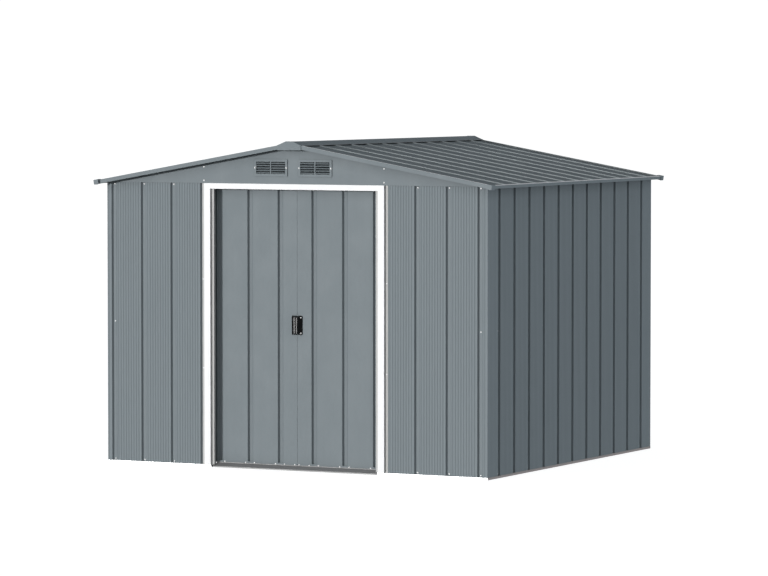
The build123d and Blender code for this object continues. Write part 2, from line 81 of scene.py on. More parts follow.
# The camera: its place in metres, its tilt and turn in degrees, its lens and sensor in millimetres
CAMERA_PLACE = (11.652, -22.759, 2.321)
CAMERA_TILT = 87.0625
CAMERA_TURN = 27.112
CAMERA_LENS = 199.36
CAMERA_SENSOR = 36.0
CAMERA_REACH = 500.0


class ShedSheetSizes(bpy.types.PropertyGroup):
    """Sizes of the grooved wall and door sheets"""

    thickness: FloatProperty(
        name="Sheet", description="Thickness of the wall and roof sheets", default=0.0008, unit="LENGTH")
    pitch: FloatProperty(
        name="Groove pitch", description="Distance between two grooves", default=0.2, unit="LENGTH")
    mouth: FloatProperty(
        name="Groove mouth", description="Width of a groove at the face", default=0.036, unit="LENGTH")
    floor: FloatProperty(
        name="Groove floor", description="Width of a groove at its floor", default=0.02, unit="LENGTH")
    depth: FloatProperty(
        name="Groove depth", description="Depth of a groove", default=0.012, unit="LENGTH")
    fold: FloatProperty(
        name="Fold", description="How far a fold is rounded along each of its sides",
        default=0.0022, unit="LENGTH")
    ripple_pitch: FloatProperty(
        name="Ripple pitch", description="Distance between two fine ribs of a pan",
        default=0.0172, unit="LENGTH")
    ripple_height: FloatProperty(
        name="Ripple height", description="Height of the fine ribs before they are rounded",
        default=0.0039, unit="LENGTH")
    ripple_round: FloatProperty(
        name="Ripple rounding", description="How far a fine rib is rounded along each of its sides",
        default=0.0039, unit="LENGTH")


class ShedRoofSizes(bpy.types.PropertyGroup):
    """Sizes of the ribbed roof sheets"""

    slope: FloatProperty(
        name="Slope", description="Slope of the roof", default=math.radians(10), subtype="ANGLE")
    rib_base: FloatProperty(
        name="Rib base", description="Width of a rib at the pan", default=0.027, unit="LENGTH")
    rib_crown: FloatProperty(
        name="Rib crown", description="Width of a rib at its top", default=0.02, unit="LENGTH")
    crown_level: FloatProperty(
        name="Crown level", description="Height of the ribs' crowns over the beams",
        default=0.0125, unit="LENGTH")
    rib_height: FloatProperty(
        name="Rib height", description="Height of a rib over the pan", default=0.0066, unit="LENGTH")
    fold: FloatProperty(
        name="Rib fold", description="How far a fold of a rib is rounded along each of its sides",
        default=0.0012, unit="LENGTH")
    rib_shift: FloatProperty(
        name="Rib shift", description="How far the ribs between the barges sit behind even spaces",
        default=0.042, unit="LENGTH")
    rib_count: IntProperty(
        name="Ribs", description="Rib spaces from the ridge line's middle to a barge", default=6)


class ShedFinishes(bpy.types.PropertyGroup):
    """Colours of the finishes"""

    grey_paint: FloatVectorProperty(
        name="Grey paint", description="Paint of the sheets and roof trims", size=3,
        default=(0.19, 0.219, 0.233), subtype="COLOR", min=0, max=1)
    white_paint: FloatVectorProperty(
        name="White paint", description="Paint of the door frame and the front base rails", size=3,
        default=(0.88, 0.88, 0.88), subtype="COLOR", min=0, max=1)
    # A greyer coat on the flanges behind the face of the door frame
    behind_face_grey: FloatVectorProperty(
        name="Thin paint", description="Door frame paint on the flanges behind its face", size=3,
        default=(0.46, 0.46, 0.45), subtype="COLOR", min=0, max=1)
    # Painted highlight on the upward flanges of the roof trims, and at half strength on the steep flanges of
    # the ridge cap
    flange_highlight_paint: FloatVectorProperty(
        name="Worn paint", description="Paint on the upper flanges of the roof trims", size=3,
        default=(0.9, 0.9, 0.9), subtype="COLOR", min=0, max=1)
    # Painted highlight on the flanks of the roof ribs, lighter than the pans
    rib_flank_light_paint: FloatVectorProperty(
        name="Rib edge", description="Worn paint on the flanks of the roof ribs", size=3,
        default=(0.43, 0.47, 0.475), subtype="COLOR", min=0, max=1)
    # Painted shade: the side and back base rails take this darker colour in place of the front rails' white
    rail_shade_colour: FloatVectorProperty(
        name="Rail primer", description="Base rails of the sides and the back", size=3,
        default=(0.33, 0.3, 0.29), subtype="COLOR", min=0, max=1)
    zinc: FloatVectorProperty(
        name="Zinc", description="Galvanised top track, rails and beams", size=3,
        default=(0.5, 0.51, 0.52), subtype="COLOR", min=0, max=1)
    sill_steel: FloatVectorProperty(
        name="Sill steel", description="Bare steel of the door sill and the bottom track", size=3,
        default=(0.2, 0.2, 0.2), subtype="COLOR", min=0, max=1)
    black_plastic: FloatVectorProperty(
        name="Black plastic", description="Moulded door handles", size=3,
        default=(0.002, 0.002, 0.0022), subtype="COLOR", min=0, max=1)
    glide_plastic: FloatVectorProperty(
        name="Glide plastic", description="Door glides", size=3,
        default=(0.62, 0.62, 0.58), subtype="COLOR", min=0, max=1)
    screw_zinc: FloatVectorProperty(
        name="Screw zinc", description="Screws and washers", size=3,
        default=(0.76, 0.76, 0.75), subtype="COLOR", min=0, max=1)


class ShedStage(bpy.types.PropertyGroup):
    """Light of the studio"""

    key: FloatProperty(name="Key", description="Light from the front left, with its soft fill", default=3.09)
    side_fill: FloatProperty(name="Side fill", description="Soft light from behind on the right", default=1.6)
    back_fill: FloatProperty(name="Back fill", description="Soft light from behind on the left", default=1.1)
    sky: FloatProperty(name="Sky", description="Light of the room straight above", default=0.48)
    horizon: FloatProperty(name="Horizon", description="Light of the room at eye level", default=0.1)
    ground: FloatProperty(name="Ground", description="Light of the room below", default=0.22)
    cool: FloatVectorProperty(
        name="Cool tint", description="Tint of the room and of the fill lights", size=3,
        default=(0.95, 1.0, 1.05), subtype="COLOR", min=0, max=2)


# Modelling by hand, in code

def clear_selection():
    """Go back to object mode with nothing selected."""
    if bpy.context.object is not None and bpy.context.object.mode != "OBJECT":
        bpy.ops.object.mode_set(mode="OBJECT")
    bpy.ops.object.select_all(action="DESELECT")


def take(piece):
    """Select one piece and make it the active one."""
    clear_selection()
    piece.select_set(True)
    bpy.context.view_layer.objects.active = piece


def pick(kind, test):
    """In edit mode, select the vertices, edges or faces that pass a test."""
    bpy.ops.mesh.select_mode(type=kind)
    bpy.ops.mesh.select_all(action="DESELECT")
    mesh = bmesh.from_edit_mesh(bpy.context.object.data)
    items = {"VERT": mesh.verts, "EDGE": mesh.edges, "FACE": mesh.faces}[kind]
    for item in items:
        if test(item):
            item.select_set(True)
    bmesh.update_edit_mesh(bpy.context.object.data)


def add_modifier(piece, kind, **settings):
    """Add a modifier to a piece, set it and apply it."""
    take(piece)
    bpy.ops.object.modifier_add(type=kind)
    modifier = piece.modifiers[-1]
    for key, value in settings.items():
        setattr(modifier, key, value)
    bpy.ops.object.modifier_apply(modifier=modifier.name)


def put(piece, place):
    """Move a piece to its place, and keep the place in its mesh."""
    take(piece)
    piece.matrix_world = place
    bpy.ops.object.transform_apply(location=True, rotation=True, scale=True)


def draw_out(name, line, low, high):
    """A sheet with no thickness yet: an upright edge drawn out from corner to corner of a line.

    Each corner is (along, depth, rounding). The faces look to the left of the way of the line.
    """
    clear_selection()
    tall = high - low
    along, depth = line[0][:2]
    middle = (along, depth + tall / 2, (low + high) / 2)
    bpy.ops.mesh.primitive_plane_add(size=tall, rotation=(0, math.pi / 2, 0), location=middle)
    piece = bpy.context.object
    piece.name = name
    piece.data.name = name
    bpy.ops.object.transform_apply(location=True, rotation=True, scale=True)
    bpy.ops.object.mode_set(mode="EDIT")
    pick("VERT", lambda vert: vert.co.y > middle[1])
    bpy.ops.mesh.delete(type="VERT")
    bpy.ops.mesh.select_mode(type="EDGE")
    bpy.ops.mesh.select_all(action="SELECT")
    for start, end in zip(line, line[1:]):
        step = (end[0] - start[0], end[1] - start[1], 0)
        bpy.ops.mesh.extrude_edges_move(TRANSFORM_OT_translate={"value": step})
    mesh = bmesh.from_edit_mesh(piece.data)
    mesh.faces.ensure_lookup_table()
    mesh.normal_update()
    right = Vector((line[1][1] - line[0][1], line[0][0] - line[1][0], 0))
    if mesh.faces[0].normal.dot(right) > 0:
        bpy.ops.mesh.select_all(action="SELECT")
        bpy.ops.mesh.flip_normals()
    return piece


def round_folds(line, segments):
    """In edit mode, round the upright folds of a drawn sheet by the rounding of their corners."""
    for rounding in sorted({corner[2] for corner in line if corner[2] > 0}):
        corners = [Vector(corner[:2]) for corner in line if corner[2] == rounding]

        def on_fold(edge, corners=corners):
            start, end = (vert.co for vert in edge.verts)
            if (start.xy - end.xy).length > VERY_NEAR:
                return False
            return any((start.xy - corner).length < 2 * VERY_NEAR for corner in corners)

        pick("EDGE", on_fold)
        bpy.ops.mesh.bevel(offset=rounding, segments=segments, affect="EDGES", clamp_overlap=True)


def thicken(piece, thickness):
    """Give a drawn sheet its thickness, to the right of its line."""
    add_modifier(piece, "SOLIDIFY", thickness=thickness, offset=-1, use_even_offset=True, use_rim=True)


def fold_sheet(name, line, low, high, thickness, place, segments=3):
    """A sheet folded along a line of corners, thickened and put in its place."""
    piece = draw_out(name, line, low, high)
    round_folds(line, segments)
    thicken(piece, thickness)
    put(piece, place)
    return piece


def copy_piece(piece, name):
    """A copy of a piece, with its own mesh."""
    take(piece)
    bpy.ops.object.duplicate(linked=False)
    twin = bpy.context.object
    twin.name = name
    twin.data.name = name
    return twin


def turn_outwards(piece):
    """Make the faces of a closed piece look outwards."""
    take(piece)
    bpy.ops.object.mode_set(mode="EDIT")
    mesh = bmesh.from_edit_mesh(piece.data)
    if mesh.calc_volume(signed=True) < 0:
        bpy.ops.mesh.select_all(action="SELECT")
        bpy.ops.mesh.flip_normals()
    bpy.ops.object.mode_set(mode="OBJECT")


def mirrored(piece, name, axis):
    """A copy of a piece, mirrored across the middle of the shed."""
    twin = copy_piece(piece, name)
    twin.scale[axis] = -1
    bpy.ops.object.transform_apply(location=True, rotation=True, scale=True)
    turn_outwards(twin)
    return twin


def smooth(piece):
    """Smooth shading over rounded folds, with flat pans left flat."""
    take(piece)
    bpy.ops.object.shade_smooth_by_angle(angle=SMOOTH_BELOW)
    add_modifier(piece, "WEIGHTED_NORMAL", weight=50, keep_sharp=True)


def hand_over(piece, body, slot, finish, *nodes):
    """Give a finished piece its finish and its body, and hide the nodes that it stands for."""
    piece.data.materials.clear()
    piece.data.materials.append(finish)
    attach(piece, body)
    if nodes:
        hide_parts(*nodes)


# Finishes

def new_finish(name):
    """An empty finish, and its shader."""
    finish = bpy.data.materials.new(name)
    finish.use_nodes = True
    nodes = finish.node_tree.nodes
    nodes.clear()
    output = nodes.new("ShaderNodeOutputMaterial")
    shader = nodes.new("ShaderNodeBsdfPrincipled")
    finish.node_tree.links.new(shader.outputs["BSDF"], output.inputs["Surface"])
    return finish, shader


def link(finish, source, target):
    """Join an output to an input."""
    finish.node_tree.links.new(source, target)


def place_on_piece(finish, stretch=(1, 1, 1)):
    """Object coordinates, stretched."""
    nodes = finish.node_tree.nodes
    coordinates = nodes.new("ShaderNodeTexCoord")
    mapping = nodes.new("ShaderNodeMapping")
    mapping.inputs["Scale"].default_value = stretch
    link(finish, coordinates.outputs["Object"], mapping.inputs["Vector"])
    return mapping.outputs["Vector"]


def noise(finish, place, scale, detail=3.0, roughness=0.5):
    """A noise of a given scale."""
    node = finish.node_tree.nodes.new("ShaderNodeTexNoise")
    node.inputs["Scale"].default_value = scale
    node.inputs["Detail"].default_value = detail
    node.inputs["Roughness"].default_value = roughness
    link(finish, place, node.inputs["Vector"])
    return node.outputs["Fac"]


def spread(finish, value, low, high, start=0.3, end=0.7):
    """Spread a noise over a range of values."""
    node = finish.node_tree.nodes.new("ShaderNodeMapRange")
    node.inputs["From Min"].default_value = start
    node.inputs["From Max"].default_value = end
    node.inputs["To Min"].default_value = low
    node.inputs["To Max"].default_value = high
    link(finish, value, node.inputs["Value"])
    return node.outputs["Result"]


def shades(finish, value, dark, light, start=0.3, end=0.7):
    """Two shades of a colour, spread over a noise."""
    node = finish.node_tree.nodes.new("ShaderNodeValToRGB")
    node.color_ramp.elements[0].position = start
    node.color_ramp.elements[1].position = end
    node.color_ramp.elements[0].color = (*dark, 1)
    node.color_ramp.elements[1].color = (*light, 1)
    link(finish, value, node.inputs["Fac"])
    return node.outputs["Color"]


def relief(finish, shader, value, distance, strength):
    """A fine relief on the surface."""
    node = finish.node_tree.nodes.new("ShaderNodeBump")
    node.inputs["Distance"].default_value = distance
    node.inputs["Strength"].default_value = strength
    link(finish, value, node.inputs["Height"])
    link(finish, node.outputs["Normal"], shader.inputs["Normal"])


def tint(colour, share):
    """A colour made lighter or darker by a share."""
    return tuple(min(1.0, channel * share) for channel in colour)


def blend(finish, share, coat, colour):
    """A coat that goes over to another colour by a share."""
    mix = finish.node_tree.nodes.new("ShaderNodeMix")
    mix.data_type = "RGBA"
    link(finish, share, mix.inputs["Factor"])
    colours = [socket for socket in mix.inputs if socket.type == "RGBA"]
    link(finish, coat, colours[0])
    colours[1].default_value = (*colour, 1)
    return [socket for socket in mix.outputs if socket.type == "RGBA"][0]


def greyer_behind_face(finish, coat, behind_grey):
    """A coat that goes greyer on the flanges that lie behind the face of the door frame."""
    nodes = finish.node_tree.nodes
    split = nodes.new("ShaderNodeSeparateXYZ")
    link(finish, place_on_piece(finish), split.inputs["Vector"])
    grey_begins = 0.004 - HALF_DEPTH
    grey_complete = 0.010 - HALF_DEPTH
    behind = spread(finish, split.outputs["Y"], 0.0, 1.0, grey_begins, grey_complete)
    return blend(finish, behind, coat, behind_grey)


def painted_flange_light(finish, coat, flange_light, start, end):
    """A coat painted lighter on flanges, told by how far up they look: painted light."""
    nodes = finish.node_tree.nodes
    split = nodes.new("ShaderNodeSeparateXYZ")
    link(finish, nodes.new("ShaderNodeTexCoord").outputs["Normal"], split.inputs["Vector"])
    return blend(finish, spread(finish, split.outputs["Z"], 0.0, 1.0, start, end), coat, flange_light)


def painted_shade_in_corners(finish, coat, share):
    """A coat painted darker in corners: painted shade in grooves, at laps and under trims."""
    painted_shade_colour = (0.01, 0.01, 0.01)
    reach = 0.08
    corner = finish.node_tree.nodes.new("ShaderNodeAmbientOcclusion")
    corner.samples = 8
    corner.inputs["Distance"].default_value = reach
    # Painted shade: the more the near faces hide a point, the darker its coat
    corner_shade = spread(finish, corner.outputs["AO"], share, 0.0, start=0.0, end=1.0)
    return blend(finish, corner_shade, coat, painted_shade_colour)


def paint(name, colour, gloss, streak_axis, sheen=0.12, metal=0.0, behind_grey=None, flange_light=None, corner_shade=0.0):
    """Baked paint on rolled steel: faint mottling, roller streaks and orange peel."""
    across, along = 9.0, 0.6
    finish, shader = new_finish(name)
    stretch = [across, across, across]
    stretch[streak_axis] = along
    streaks = noise(finish, place_on_piece(finish, stretch), scale=3.0, detail=4.0, roughness=0.6)
    coat = shades(finish, streaks, tint(colour, 0.985), tint(colour, 1.015))
    # Greyer on the flanges behind the face of the door frame
    if behind_grey is not None:
        coat = greyer_behind_face(finish, coat, behind_grey)
    # Painted light: flanges made lighter by how far up they look
    if flange_light is not None:
        coat = painted_flange_light(finish, coat, *flange_light)
    # Painted shade in corners, in grooves and under trims
    if corner_shade > 0:
        coat = painted_shade_in_corners(finish, coat, corner_shade)
    link(finish, coat, shader.inputs["Base Color"])
    cloud = noise(finish, place_on_piece(finish), scale=7.0)
    link(finish, spread(finish, cloud, gloss - 0.05, gloss + 0.06), shader.inputs["Roughness"])
    peel = noise(finish, place_on_piece(finish), scale=700.0, detail=2.0)
    relief(finish, shader, peel, distance=0.00006, strength=0.18)
    shader.inputs["Specular IOR Level"].default_value = sheen
    shader.inputs["Metallic"].default_value = metal
    return finish


def bare_metal(name, colour, metal, gloss, cell_scale, contrast=0.12):
    """Zinc-coated steel: crystals of slightly different shades, and fine scratches."""
    finish, shader = new_finish(name)
    place = place_on_piece(finish)
    cells = finish.node_tree.nodes.new("ShaderNodeTexVoronoi")
    cells.inputs["Scale"].default_value = cell_scale
    link(finish, place, cells.inputs["Vector"])
    grey = finish.node_tree.nodes.new("ShaderNodeRGBToBW")
    link(finish, cells.outputs["Color"], grey.inputs["Color"])
    crystals = shades(finish, grey.outputs["Val"], tint(colour, 1 - contrast), tint(colour, 1 + contrast))
    link(finish, crystals, shader.inputs["Base Color"])
    scratches = noise(finish, place_on_piece(finish, stretch=(3, 3, 60)), scale=20.0, detail=4.0)
    link(finish, spread(finish, scratches, gloss - 0.08, gloss + 0.1), shader.inputs["Roughness"])
    relief(finish, shader, scratches, distance=0.00005, strength=0.2)
    shader.inputs["Metallic"].default_value = metal
    return finish


def moulded_plastic(name, colour, gloss, grain, sheen):
    """Moulded plastic with a fine grain."""
    finish, shader = new_finish(name)
    place = place_on_piece(finish)
    cloud = noise(finish, place, scale=60.0)
    link(finish, shades(finish, cloud, tint(colour, 0.85), tint(colour, 1.2)), shader.inputs["Base Color"])
    fine = noise(finish, place, scale=grain, detail=2.0)
    link(finish, spread(finish, fine, gloss - 0.06, gloss + 0.08), shader.inputs["Roughness"])
    relief(finish, shader, fine, distance=0.00008, strength=0.25)
    shader.inputs["Specular IOR Level"].default_value = sheen
    return finish


def make_finishes():
    """All the finishes, by name."""
    colours = bpy.context.scene.shed_finishes
    grey = colours.grey_paint
    # The sheets get painted shade in their grooves, at their laps and under the trims
    sheets = {"gloss": 0.5, "streak_axis": ALONG_Z, "corner_shade": 0.46}
    trims = {"gloss": 0.5, "streak_axis": ALONG_Z}
    # Painted light on flanges: the colour, and how far up a face looks where the lighter coat begins and
    # where it is complete
    # Painted highlight on the flanks of the roof ribs
    rib_flank_highlight = (colours.rib_flank_light_paint, 0.8, 0.5)
    # Painted highlight on the upward flanges of the barges and the eave trims
    trim_top_highlight = (colours.flange_highlight_paint, 0.6, 0.95)
    # Painted light on the steep flanges of the ridge cap
    ridge_flange_light = (tint(colours.flange_highlight_paint, 0.5), 0.6, 0.3)
    return {
        "grey_paint": paint("grey_paint_finish", grey, **sheets),
        # The wall and corner sheets take the grey paint made lighter than the doors': painted light that
        # makes up for the shade between their fine ribs
        "wall_paint": paint("wall_paint_finish", tint(grey, 1.07), **sheets),
        # The roof takes the grey paint made darker, painted shade as it gets less light than the walls, with
        # painted light on its rib flanks and painted shade in its corners
        "roof_paint": paint(
            "roof_paint_finish", tint(grey, 0.87), gloss=0.5, streak_axis=ALONG_X, flange_light=rib_flank_highlight, corner_shade=0.3),
        "roof_trim": paint("roof_trim_finish", grey, flange_light=trim_top_highlight, **trims),
        "ridge_cap": paint("ridge_cap_finish", grey, flange_light=ridge_flange_light, **trims),
        "white_trim": paint(
            "white_paint_finish", colours.white_paint, gloss=0.38, streak_axis=ALONG_Z,
            behind_grey=colours.behind_face_grey),
        "base_rail": paint(
            "base_rail_finish", colours.white_paint, gloss=0.35, streak_axis=ALONG_Z, sheen=0.5, metal=0.5),
        # Painted shade: the side and back base rails are a darker copy of the white rails
        "shaded_rail": paint("shaded_rail_finish", colours.rail_shade_colour, **trims),
        "galvanised": bare_metal("zinc_finish", colours.zinc, metal=0.75, gloss=0.42, cell_scale=55.0),
        "sill_steel": bare_metal(
            "sill_steel_finish", colours.sill_steel, metal=0.25, gloss=0.45, cell_scale=40.0, contrast=0.03),
        "black_plastic": moulded_plastic(
            "black_plastic_finish", colours.black_plastic, gloss=0.28, grain=1500.0, sheen=0.4),
        "glide_plastic": moulded_plastic(
            "glide_plastic_finish", colours.glide_plastic, gloss=0.45, grain=900.0, sheen=0.5),
        "screw_zinc": bare_metal(
            "screw_zinc_finish", colours.screw_zinc, metal=0.1, gloss=0.5, cell_scale=400.0),
    }


def finish_of(name):
    """A finish by its name. All are made on first use."""
    if not FINISHES:
        FINISHES.update(make_finishes())
    return FINISHES[name]


FINISHES = {}


# Lines of the sheets

def against_wall(wall):
    """Place of a sheet drawn with its face at depth 0 and running along a wall."""
    turn = Matrix.Rotation(WALL_TURNS[wall] * math.pi / 2, 4, "Z")
    return turn @ Matrix.Translation((0, -HALF_SPANS[wall], 0))


def groove_side(sizes, middle, face, side, fold):
    """The two corners of one side of a groove, from its floor up to the face."""
    return [
        (middle + side * sizes.floor / 2, face + sizes.depth, fold),
        (middle + side * sizes.mouth / 2, face, fold),
    ]


def ripple(sizes, start, end):
    """Fine ribs across a pan: a zigzag whose rounded crests lie in the face of the pan."""
    count = int((end - start) / sizes.ripple_pitch)
    first = (start + end - count * sizes.ripple_pitch) / 2
    crest_loss = 0.2
    rounded_off = sizes.ripple_height * crest_loss
    corners = []
    for step in range(2 * count + 1):
        depth = sizes.ripple_height - rounded_off if step % 2 else -rounded_off
        if step in (0, 2 * count):
            depth = 0.0
        corners.append((first + sizes.ripple_pitch * step / 2, depth, sizes.ripple_round))
    return corners


def wall_pitch(sizes):
    """One pitch of a wall sheet, from the middle of a groove to the middle of the next."""
    line = [(0.0, sizes.depth, 0)]
    line += groove_side(sizes, 0, 0, 1, sizes.fold)
    line += ripple(sizes, sizes.mouth / 2, sizes.pitch - sizes.mouth / 2)
    line += groove_side(sizes, sizes.pitch, 0, -1, sizes.fold)[::-1]
    line += [(sizes.pitch, sizes.depth, 0)]
    return line[::-1]


def rib_side(roof, middle, side, crown):
    """The two corners of one side of a roof rib, from its crown down to the pan."""
    return [
        (middle + side * roof.rib_crown / 2, crown, roof.fold),
        (middle + side * roof.rib_base / 2, roof.crown_level - roof.rib_height, roof.fold),
    ]


def whole_rib(roof, middle):
    """The four corners of a roof rib."""
    crown = roof.crown_level
    return rib_side(roof, middle, -1, crown)[::-1] + rib_side(roof, middle, 1, crown)


def across_slope(roof):
    """Place of a section drawn across the right-hand slope and run down it from the ridge."""
    cos = math.cos(roof.slope)
    sin = math.sin(roof.slope)
    turn = Matrix(((0, sin, cos), (1, 0, 0), (0, cos, -sin))).to_4x4()
    beam_seat = 0.004
    ridge = WALL_HIGH + beam_seat + HALF_WIDTH * math.tan(roof.slope)
    return Matrix.Translation((0, 0, ridge)) @ turn


class SHED_OT_wall_sheets(bpy.types.Operator):
    """Grooved wall sheets with fine ribs: one pitch is modelled and repeated along each wall"""

    bl_idname = "shed.wall_sheets"
    bl_label = "Wall sheets"

    def execute(self, context):
        sizes = context.scene.shed_sheets
        line = wall_pitch(sizes)
        pitch_piece = draw_out("wall_pitch", line, WALL_LOW, WALL_HIGH)
        round_folds(line, 4)
        bpy.ops.object.mode_set(mode="OBJECT")
        lap = sizes.floor / 2 - sizes.thickness
        jamb_lap = JAMB_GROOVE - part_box("front_wall_right")[0].x
        front_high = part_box("front_wall_right")[1].z
        # Sheet, wall, first groove, number of pitches, laps at the two ends, and top edge
        runs = (
            ("front_wall_right", "front", JAMB_GROOVE, 3, jamb_lap, lap, front_high),
            ("front_wall_left", "front", -FRONT_END_GROOVE, 3, lap, jamb_lap, front_high),
            ("back_wall", "back", -FRONT_END_GROOVE, 12, lap, lap, front_high),
            ("left_wall", "left", -SIDE_END_GROOVE, 10, lap, lap, WALL_HIGH),
            ("right_wall", "right", -SIDE_END_GROOVE, 10, lap, lap, WALL_HIGH),
        )
        for name, wall, first, count, first_lap, last_lap, high in runs:
            piece = copy_piece(pitch_piece, name + "_sheet")
            add_modifier(piece, "ARRAY", count=count, use_relative_offset=False, use_constant_offset=True,
                         constant_offset_displace=(sizes.pitch, 0, 0), use_merge_vertices=True,
                         merge_threshold=NEAR)
            take(piece)
            bpy.ops.object.mode_set(mode="EDIT")
            length = count * sizes.pitch
            for end, step in ((0, -first_lap), (length, last_lap)):
                pick("EDGE", lambda edge, end=end: all(abs(v.co.x - end) < VERY_NEAR for v in edge.verts))
                bpy.ops.mesh.extrude_edges_move(TRANSFORM_OT_translate={"value": (step, 0, 0)})
            pick("VERT", lambda vert: vert.co.z > (WALL_LOW + WALL_HIGH) / 2)
            bpy.ops.transform.translate(value=(0, 0, high - WALL_HIGH))
            bpy.ops.object.mode_set(mode="OBJECT")
            thicken(piece, sizes.thickness)
            put(piece, against_wall(wall) @ Matrix.Translation((first, 0, 0)))
            turn_outwards(piece)
            smooth(piece)
            hand_over(piece, "shed", "grey_paint", finish_of("wall_paint"), name)
        take(pitch_piece)
        bpy.ops.object.delete()
        return {"FINISHED"}


class SHED_OT_corner_sheets(bpy.types.Operator):
    """Folded corner sheets: one is modelled and mirrored to the other three corners"""

    bl_idname = "shed.corner_sheets"
    bl_label = "Corner sheets"

    def execute(self, context):
        sizes = context.scene.shed_sheets
        floor = sizes.depth - sizes.thickness
        lap = sizes.floor / 2 - 2 * sizes.thickness
        front_strip = 0.0475
        side_strip = 0.1515
        front_groove = HALF_WIDTH - front_strip
        side_groove = side_strip - HALF_DEPTH
        side_pan = ripple(sizes, -HALF_DEPTH, side_groove - sizes.mouth / 2)
        front_pan = ripple(sizes, front_groove + sizes.mouth / 2, HALF_WIDTH)
        line = [
            (HALF_WIDTH - floor, side_groove + lap, 0),
            (HALF_WIDTH - floor, side_groove - sizes.floor / 2, sizes.fold),
            (HALF_WIDTH, side_groove - sizes.mouth / 2, sizes.fold),
        ]
        line += [(HALF_WIDTH - depth, y, rounding) for y, depth, rounding in side_pan[::-1]]
        line += [(HALF_WIDTH, -HALF_DEPTH, sizes.fold)]
        line += [(x, depth - HALF_DEPTH, rounding) for x, depth, rounding in front_pan[::-1]]
        line += [
            (front_groove + sizes.mouth / 2, -HALF_DEPTH, sizes.fold),
            (front_groove + sizes.floor / 2, floor - HALF_DEPTH, sizes.fold),
            (front_groove - lap, floor - HALF_DEPTH, 0),
        ]
        first = fold_sheet("corner_front_right_sheet", line, WALL_LOW, WALL_HIGH, sizes.thickness,
                           Matrix.Identity(4), 4)
        turn_outwards(first)
        pieces = {"corner_front_right": first}
        pieces["corner_front_left"] = mirrored(first, "corner_front_left_sheet", 0)
        pieces["corner_back_right"] = mirrored(first, "corner_back_right_sheet", 1)
        pieces["corner_back_left"] = mirrored(pieces["corner_front_left"], "corner_back_left_sheet", 1)
        for node, piece in pieces.items():
            smooth(piece)
            hand_over(piece, "shed", "grey_paint", finish_of("wall_paint"), node)
        return {"FINISHED"}


class SHED_OT_door_sheets(bpy.types.Operator):
    """Grooved door sheets: the right one is modelled and mirrored to the left"""

    bl_idname = "shed.door_sheets"
    bl_label = "Door sheets"

    def execute(self, context):
        sizes = context.scene.shed_sheets
        low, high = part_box("right_door_panel")
        face = low.y + HALF_DEPTH
        seam = 0.0006
        edge_fold = 0.011
        grooves = (0.111, 0.311, 0.511)
        line = [(seam, face, 0)]
        for middle in grooves:
            line += groove_side(sizes, middle, face, -1, sizes.fold)[::-1]
            line += groove_side(sizes, middle, face, 1, sizes.fold)
        line += [(high.x, face, sizes.fold), (high.x, face + edge_fold, 0)]
        right = fold_sheet("right_door_sheet", line[::-1], low.z, high.z, sizes.thickness,
                           against_wall("front"))
        turn_outwards(right)
        left = mirrored(right, "left_door_sheet", 0)
        for side, piece in (("right", right), ("left", left)):
            smooth(piece)
            hand_over(piece, side + "_door", "grey_paint", finish_of("grey_paint"), side + "_door_panel")
        return {"FINISHED"}


class SHED_OT_roof_sheets(bpy.types.Operator):
    """Ribbed roof sheets: two are folded for the right-hand slope and mirrored to the left"""

    bl_idname = "shed.roof_sheets"
    bl_label = "Roof sheets"

    def execute(self, context):
        sizes = context.scene.shed_sheets
        roof = context.scene.shed_roof
        edge = -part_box("roof_sheet_front_right")[0].y
        pitch = edge / roof.rib_count
        lap = roof.rib_crown / 2 - 2 * sizes.thickness
        crown = roof.crown_level
        front = [(-edge, crown, 0)] + rib_side(roof, -edge, 1, crown)
        for step in range(roof.rib_count - 1, 0, -1):
            front += whole_rib(roof, roof.rib_shift - step * pitch)
        joint = roof.rib_shift
        front += rib_side(roof, joint, -1, crown)[::-1] + [(joint + lap, crown, 0)]
        under = crown - sizes.thickness
        rear = [(joint - lap, under, 0)] + rib_side(roof, joint, 1, under)
        for step in range(1, roof.rib_count):
            rear += whole_rib(roof, roof.rib_shift + step * pitch)
        rear += rib_side(roof, edge, -1, crown)[::-1] + [(edge, crown, 0)]
        ridge_gap = 0.006
        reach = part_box("roof_sheet_front_right")[1].x
        high = (reach - roof.crown_level * math.sin(roof.slope)) / math.cos(roof.slope)
        for part, line in (("front", front), ("rear", rear)):
            node = "roof_sheet_" + part
            right = fold_sheet(node + "_right_ribbed", line, ridge_gap, high, sizes.thickness,
                               across_slope(roof))
            turn_outwards(right)
            left = mirrored(right, node + "_left_ribbed", 0)
            for side, piece in (("right", right), ("left", left)):
                smooth(piece)
                hand_over(piece, "shed", "grey_paint", finish_of("roof_paint"), node + "_" + side)
        return {"FINISHED"}


class SHED_OT_sill_hem(bpy.types.Operator):
    """Rolled hem on the back edge of the sill: a bar is laid along the edge and its top is rounded"""

    bl_idname = "shed.sill_hem"
    bl_label = "Sill hem"

    def execute(self, context):
        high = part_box("door_sill")[1]
        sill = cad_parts["door_sill"]
        corners = [sill.matrix_world @ vert.co for vert in sill.data.vertices]
        width = 2 * max(corner.x for corner in corners if corner.y > high.y - NEAR)
        depth = 0.0016
        seat = 0.0008
        rise = 0.0026
        rounding = depth * 0.45
        clear_selection()
        bpy.ops.mesh.primitive_cube_add(size=1)
        hem = bpy.context.object
        hem.name = "sill_hem"
        hem.data.name = hem.name
        middle = Vector((0, high.y - depth / 2, high.z + (rise - seat) / 2))
        put(hem, Matrix.Translation(middle) @ Matrix.Diagonal((width, depth, rise + seat, 1)))
        bpy.ops.object.mode_set(mode="EDIT")
        pick("EDGE", lambda edge: min(vert.co.z for vert in edge.verts) > high.z
             and abs(edge.verts[0].co.x - edge.verts[1].co.x) > depth)
        bpy.ops.mesh.bevel(offset=rounding, segments=4, affect="EDGES")
        bpy.ops.object.mode_set(mode="OBJECT")
        turn_outwards(hem)
        smooth(hem)
        hand_over(hem, "shed", "sill_steel", finish_of("sill_steel"))
        return {"FINISHED"}


